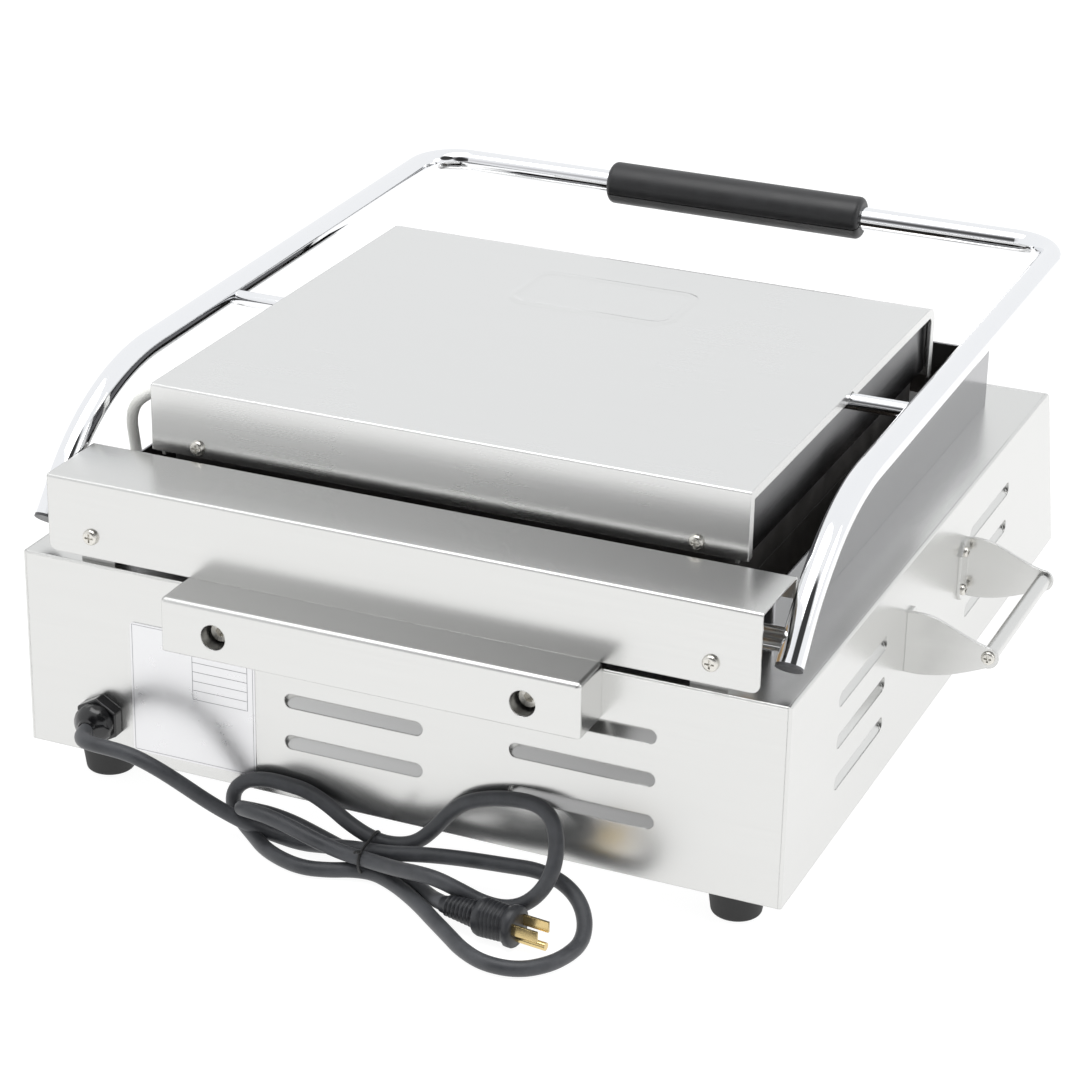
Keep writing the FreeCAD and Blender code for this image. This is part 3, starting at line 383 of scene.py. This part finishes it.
def prism(name, outline, origin, axis, h, mat, bevel=0.4, seg=2):
    """A closed outline (mm, in the plane square to axis) raised by h mm, with rounded edges."""
    bm = bmesh.new()
    vs = [bm.verts.new((a / 1000, b / 1000, 0)) for a, b in outline]
    f = bm.faces.new(vs)
    ex = bmesh.ops.extrude_face_region(bm, geom=[f])
    bmesh.ops.translate(bm, verts=[v for v in ex["geom"] if isinstance(v, bmesh.types.BMVert)], vec=(0, 0, h / 1000))
    bmesh.ops.recalc_face_normals(bm, faces=bm.faces)
    me = bpy.data.meshes.new(name)
    bm.to_mesh(me)
    bm.free()
    ob = link(name, me, mat)
    ob.matrix_world = axis_frame(origin, axis)
    md = ob.modifiers.new("bevel", "BEVEL")
    md.width, md.segments, md.limit_method, md.angle_limit = bevel / 1000, seg, "ANGLE", math.radians(30)
    return ob


# ------------------------------------------------------------------ mains lead: one spline from the gland to the plug
LEAD = [(189, 10, 50), (189, 23.5, 50.2), (183.4, 33.6, 51.2), (173.5, 37.6, 52.6), (160.5, 37.4, 52.4), (147, 36.5, 50.6), (132.5, 33.5, 43.8),
        (119.2, 28.7, 34.1), (107.5, 23.8, 24.5), (95.5, 19.5, 16.5), (82.5, 16.0, 10.0), (67, 14.5, 6.5)]
ONE = [(50, 15.5, 5.4), (34, 17.5, 8.5), (18, 20, 12.6), (2, 21.5, 15.2), (-12, 22, 16.8), (-24, 20.5, 18.6), (-40, 18, 20), (-60, 16.5, 21.5)]
LOOP = [(-83, 16, 23), (-100, 16, 24.5), (-116, 17.5, 21.8), (-129, 24, 17), (-137.5, 34, 10.5), (-141, 47, 5.5), (-139.5, 61, 4.7),
        (-133.5, 76, 4.6), (-120.5, 88.5, 4.6), (-101, 90, 4.6), (-84, 82, 4.6), (-70, 70.5, 4.6), (-56, 59.5, 4.6), (-42, 48, 4.6), (-26, 37, 4.6)]
TWO = [(-13, 30.8, 5.0), (-3, 28.4, 5.6), (9, 30.2, 5.4), (21, 35.2, 4.7), (36, 39, 4.6), (52, 35.5, 4.6), (67, 28.0, 4.6), (79, 17.6, 4.6), (89.5, 9.0, 4.8),
       (98.6, 6.0, 11.5), (99, 5.4, 23.5), (91, 5.2, 32.5), (78, 5.2, 36.2), (64, 5.0, 36.0), (50, 5.2, 34.8), (36, 6.4, 29.4), (20, 9.6, 21.6), (2, 12.6, 17.0)]
THREE = [(-12, 10.6, 16.4), (-23, 8.4, 20.5), (-32, 6.6, 30), (-40, 5.6, 41), (-50, 5.2, 50.5), (-63, 5.0, 56.0), (-79, 5.0, 59.5), (-94, 5.8, 60.5),
         (-105, 9.5, 57), (-112, 17, 48.5), (-115.5, 27, 37.5), (-113, 34, 26.5), (-105, 38.5, 16.5), (-93, 40, 10.4), (-79, 42, 11.5), (-66, 44.5, 17.5),
         (-52, 46, 22.6), (-38, 43.5, 21.6), (-25, 39, 18.4), (-12, 33.8, 15.6), (2, 31.0, 14.8)]
FOUR = [(15, 30.5, 15.2), (31, 31.5, 19.6), (50, 29.8, 24.0), (63, 28.8, 26.4), (74, 28.0, 27.0), (83, 24.2, 25.0), (86.8, 17, 20.8),
        (83, 9.4, 16.4), (73, 5.8, 14.2), (58, 6.4, 12.4), (40, 8.4, 8.6), (22, 12.2, 6.0), (2, 16.2, 6.2)]
PLEAD = [(-12, 20, 5.2), (-25, 26.5, 4.9), (-37, 33.5, 5.0), (-47, 41, 6.5), (-55, 48.5, 10.0), (-62, 54, 12.5)]
route = [dd(*p) for p in LEAD + ONE + LOOP + TWO + THREE + FOUR + PLEAD]
cord = nurbs("mains_cord", route, 0.0045, "cord", res=12, bev=8)
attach(cord, "base")
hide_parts("cord_lead", "cord_loop", "plug_lead", "cord_hank")

# wire tie, a loop round the five strands and two twisted ends
loop = [(2, 7.2, 17), (2, 9.5, 22), (2, 15, 23.2), (2, 22, 21.4), (2, 31, 20.8), (2, 36.4, 17), (2, 36.2, 10.5), (2, 31, 4), (2, 26, 0.9), (2, 15, 0.9), (2, 10.6, 4.5), (2, 8.4, 10)]
tie = as_mesh(nurbs("wire_tie", [dd(*p) for p in loop], 0.0009, "tie", cyclic=True, res=8, bev=4))
ends = []
for s in (1, -1):
    ends.append(as_mesh(nurbs("wire_tie_end_%s" % ("a" if s > 0 else "b"), [dd(2 + s * 0.8 * math.cos(k * 1.3), 33.6 + k * 1.0 + s * 0.8 * math.sin(k * 1.3), 20.3 + k * 0.5) for k in range(7)], 0.0008, "tie", res=6, bev=3)))
for o in [tie] + ends:
    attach(o, "base")
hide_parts("cord_tie")

# plug: ribbed boot, flared body with finger grips, flat face
PD = Vector((-1, 0.12, 0)).normalized()
P0 = dd(-62, 54, 12.5)
boot = [(4.7, -3)]
for k in range(7):
    t = 0.5 + k * 2.7
    boot += [(5.4 + 0.28 * k, t), (6.1 + 0.28 * k, t + 0.5), (6.1 + 0.28 * k, t + 1.5), (5.0 + 0.28 * k, t + 1.9), (5.0 + 0.28 * k, t + 2.5)]
boot += [(6.9, 20.5)]
plug_boot = lathe("plug_boot", boot, P0, PD, "plug", 40)
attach(plug_boot, "base")


def plug_shape(a, t):
    k = 1.0 - 0.10 * max(0.0, math.cos(2 * a)) * (1.0 if 23 < t < 42 else 0.0)
    return k


body = [(7.0, 19.6), (9.2, 20.4), (10.6, 22.0), (11.2, 24.0)]
for k in range(6):
    t = 25.4 + k * 2.4
    body += [(11.2 - 0.15 * k, t), (10.3 - 0.15 * k, t + 0.5), (10.3 - 0.15 * k, t + 1.1), (11.2 - 0.15 * k, t + 1.6)]
body += [(11.0, 40.4), (12.0, 41.4), (12.15, 42.4), (12.15, 45.0), (11.6, 45.9), (6.0, 46.0)]
plug = lathe("plug_body_moulded", body, P0, PD, "plug", 56, plug_shape)
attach(plug, "base")
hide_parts("plug_body")

# gland: hexagon flange, ribbed ring nut, dome and sleeve round the lead
GO = dd(189, 0, 50)
hexo = [(15.0 * math.cos(math.radians(a)), 15.0 * math.sin(math.radians(a))) for a in range(30, 390, 60)]
gl1 = prism("gland_hex_flange", hexo, GO, (0, 1, 0), 7.6, "gloss", 0.9, 3)
gl2 = lathe("gland_ring_nut", [(10.5, 7.0), (12.0, 7.6), (12.2, 8.4), (12.2, 12.6), (11.6, 13.8), (10.0, 15.6), (8.2, 17.2), (6.6, 18.2), (5.9, 18.6), (5.5, 19.6), (4.6, 20.0), (4.4, 17.0)], GO, (0, 1, 0), "gloss", 72,
            lambda a, t: 1.0 - (0.035 if 8.0 < t < 13.0 and math.cos(12 * a) < -0.2 else 0.0))
for o in (gl1, gl2):
    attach(o, "base")
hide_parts("cord_gland")

# ------------------------------------------------------------------ flexible conduit, deck to arm and arm to lid
cond = [mm(213, 92, 126.5), mm(213, 92, 146), mm(213.3, 88, 168), mm(212, 86, 186), mm(204, 88.5, 197), mm(195, 94.0, 200.5), mm(184.0, 98, 200.5)]
dirs = (cond[4] - cond[2]).normalized()
split = cond[3]


def sleeve(name, pts, old):
    o = as_mesh(nurbs(name, pts, 0.0035, "conduit", res=14, bev=6))
    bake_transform(o)
    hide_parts(old)
    return o


sleeve("conduit_sleeve_lower", [mm(213, 92, 124.5)] + cond[:3] + [split - dirs * 0.005, split + dirs * 0.0002], "conduit_lower")
sleeve("conduit_sleeve_upper", [split - dirs * 0.0002, split + dirs * 0.005] + cond[4:], "conduit_upper")

# ------------------------------------------------------------------ blank emboss on the lid
def emboss(name, cx, cv, hx, hv, rad, z, mat):
    bm = bmesh.new()
    prof = [(0.0, -0.02), (0.8, 0.10), (1.8, 0.50), (3.0, 0.85), (4.6, 0.95), (6.0, 0.80), (7.0, 0.45), (8.2, 0.32), (12.0, 0.30)]
    rings = []
    for off, h in prof:
        a, b, r = hx - off, hv - off, max(1.0, rad - off)
        ring = []
        for (sx, sy, a0) in ((1, 1, 0), (-1, 1, 90), (-1, -1, 180), (1, -1, 270)):
            for k in range(13):
                t = math.radians(a0 + 90 * k / 12)
                ring.append(bm.verts.new(mm(cx + sx * (a - r) + r * math.cos(t), cv - (sy * (b - r) + r * math.sin(t)), z + h)))
        rings.append(ring)
    n = len(rings[0])
    for p, q in zip(rings, rings[1:]):
        for i in range(n):
            bm.faces.new((p[i], p[(i + 1) % n], q[(i + 1) % n], q[i]))
    bm.faces.new(rings[-1])
    bmesh.ops.recalc_face_normals(bm, faces=bm.faces)
    me = bpy.data.meshes.new(name)
    bm.to_mesh(me)
    bm.free()
    for f in me.polygons:
        f.use_smooth = True
    return link(name, me, mat)


em = emboss("lid_blank_emboss", 6, 323, 58, 34, 16, 214.4, "lid")
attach(em, "lid")

# ------------------------------------------------------------------ blank ruled table on the rating plate
lo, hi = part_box("rating_plate")
x0, x1, z0, z1, yf = lo[0] * 1000, hi[0] * 1000, lo[2] * 1000, hi[2] * 1000, hi[1]
bm = bmesh.new()


def strip(xa, xb, za, zb):
    bmesh.ops.create_cube(bm, size=1.0, matrix=Matrix.Translation(((xa + xb) / 2000, yf + 0.00003, (za + zb) / 2000)) @ Matrix.Diagonal(((xb - xa) / 1000, 0.0001, (zb - za) / 1000, 1)))


wl = x1 - x0
tx0, tx1 = x0 + wl * 0.06, x0 + wl * 0.50
tz1 = z1 - (z1 - z0) * 0.14
for k in range(6):
    strip(tx0, tx1, tz1 - 6.0 * k - 0.12, tz1 - 6.0 * k + 0.12)
for xx in (tx0, tx1):
    strip(xx - 0.12, xx + 0.12, tz1 - 30, tz1)
strip(x0 + 1.2, x1 - 1.2, z0 + 1.2, z0 + 1.4)
strip(x0 + 1.2, x1 - 1.2, z1 - 1.4, z1 - 1.2)
strip(x0 + 1.2, x0 + 1.4, z0 + 1.2, z1 - 1.2)
strip(x1 - 1.4, x1 - 1.2, z0 + 1.2, z1 - 1.2)
me = bpy.data.meshes.new("rating_plate_ruling")
bm.to_mesh(me)
bm.free()
rule = link("rating_plate_ruling", me, "ink")
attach(rule, "base")

# ------------------------------------------------------------------ counterbalance springs, wound wire on the hinge shaft
axis_y, axis_z = mm(0, 25.5, 150.5).y, mm(0, 25.5, 150.5).z
for s in (1, -1):
    wire, rr, xa, xb = 0.0019, 0.0114, 0.0705, 0.0952
    turns = 6
    pts = [Vector((s * 0.0690, axis_y - 0.022, axis_z + rr)), Vector((s * 0.0695, axis_y - 0.010, axis_z + rr * 1.03))]
    for k in range(turns * 8 + 1):
        a = math.pi / 2 + 2 * math.pi * k / 8
        pts.append(Vector((s * (xa + (xb - xa) * k / (turns * 8)), axis_y + rr * 1.05 * math.cos(a), axis_z + rr * 1.05 * math.sin(a))))
    pts += [Vector((s * 0.0955, axis_y + 0.0113, axis_z + 0.004)), Vector((s * 0.0955, axis_y + 0.0115, axis_z - 0.012)), Vector((s * 0.0955, axis_y + 0.0115, 0.1285))]
    sp = as_mesh(nurbs("torsion_spring_%s" % ("right" if s > 0 else "left"), pts, wire, "dark", res=4, bev=4))
    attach(sp, "base")
    if s > 0:
        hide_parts("counter_springs")

# ------------------------------------------------------------------ floor, studio light
bm = bmesh.new()
bmesh.ops.create_grid(bm, x_segments=8, y_segments=8, size=7.0)
me = bpy.data.meshes.new("floor")
bm.to_mesh(me)
bm.free()
mt, nt, p = material("floor_white")
n1 = noise(nt, coords(nt), 3.0, 2.0, 0.5)
nt.links.new(mix_col(nt, n1, (0.20, 0.20, 0.20), (0.22, 0.22, 0.22)), p.inputs["Base Color"])
p.inputs["Roughness"].default_value = 0.6
p.inputs["Specular IOR Level"].default_value = 0.0
p.inputs["Emission Color"].default_value = (1, 1, 1, 1)
p.inputs["Emission Strength"].default_value = 0.93
me.materials.append(mt)
floor = bpy.data.objects.new("floor", me)
floor.location = (0, 0, -0.0004)
bpy.context.scene.collection.objects.link(floor)


def area(name, loc, target, size, power, shape="RECTANGLE", size_y=None, spread=180):
    d = bpy.data.lights.new(name, "AREA")
    d.shape = shape
    d.size = size
    d.size_y = size_y or size
    d.energy = power
    d.spread = math.radians(spread)
    o = bpy.data.objects.new(name, d)
    bpy.context.scene.collection.objects.link(o)
    o.location = loc
    o.rotation_euler = (Vector(target) - Vector(loc)).to_track_quat("-Z", "Y").to_euler()
    return o


area("key_overhead", (0.1, 0.5, 2.7), (0, 0, 0), 2.4, 38.0, size_y=1.8)
area("box_side", (-2.6, -0.5, 1.5), (0, 0, 0.1), 1.2, 12.0, size_y=1.0)

w = bpy.data.worlds.new("studio")
bpy.context.scene.world = w
w.use_nodes = True
nt = w.node_tree
bg = nt.nodes["Background"]
tc = node(nt, "ShaderNodeTexCoord")
dot = node(nt, "ShaderNodeVectorMath", operation="DOT_PRODUCT")
dot.inputs[1].default_value = (-0.05, 0.91, 0.41)
nt.links.new(tc.outputs["Generated"], dot.inputs[0])
ramp = node(nt, "ShaderNodeValToRGB")
cr = ramp.color_ramp
cr.elements[0].position, cr.elements[0].color = 0.925, (0.93, 0.94, 0.95, 1)
cr.elements[1].position, cr.elements[1].color = 0.985, (0.03, 0.03, 0.031, 1)
for pos, val in ((0.945, 0.78), (0.957, 0.40), (0.97, 0.12)):
    e = cr.elements.new(pos)
    e.color = (val, val, val * 1.02, 1)
nt.links.new(remap(nt, dot.outputs["Value"], -1.0, 1.0, 0.0, 1.0), ramp.inputs["Fac"])
nt.links.new(ramp.outputs["Color"], bg.inputs["Color"])
# a dark flag high to the side, drawn as a streak down the steep part of the chrome arms
high = node(nt, "ShaderNodeVectorMath", operation="DOT_PRODUCT")
high.inputs[1].default_value = (-0.62, 0.45, 0.643)
nt.links.new(tc.outputs["Generated"], high.inputs[0])
nt.links.new(math_node(nt, "MULTIPLY", remap(nt, high.outputs["Value"], 0.90, 0.94, 1.0, 0.05), 1.06), bg.inputs["Strength"])

vs = bpy.context.scene.view_settings
vs.view_transform = "Standard"
vs.look = "None"
vs.exposure = 0.0
